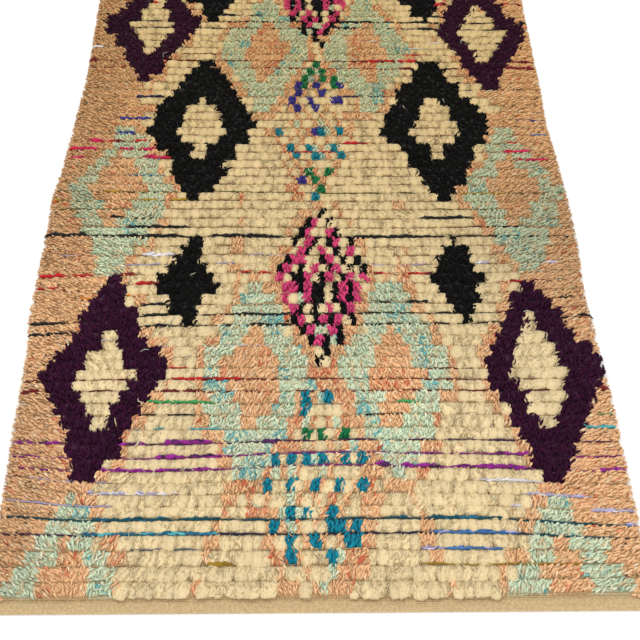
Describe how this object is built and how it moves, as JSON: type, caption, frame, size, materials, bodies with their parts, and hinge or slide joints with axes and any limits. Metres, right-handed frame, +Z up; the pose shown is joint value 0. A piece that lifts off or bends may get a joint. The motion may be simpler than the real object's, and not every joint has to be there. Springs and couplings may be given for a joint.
{
  "type": "knotted pile runner rug",
  "caption": "Long narrow wool rug in Boujad style: knotted pile in ribbed rows, stepped diamond pattern, uneven sides, flat-woven ends, lying flat.",
  "frame": {"origin": "middle of the underside, on the floor", "axes": "+X across the width, +Y along the length towards the far end, +Z up out of the pile"},
  "size_m": [1.2124, 2.75, 0.0197],
  "materials": {
    "cream_wool": "matte",
    "peach_wool": "matte",
    "celadon_wool": "matte",
    "black_wool": "matte",
    "aubergine_wool": "matte",
    "bright_wool": "matte",
    "coloured_weft": "matte",
    "ground_weave": "matte"
  },
  "bodies": {
    "root": {"rug": "cream_wool"}
  },
  "joints": []
}
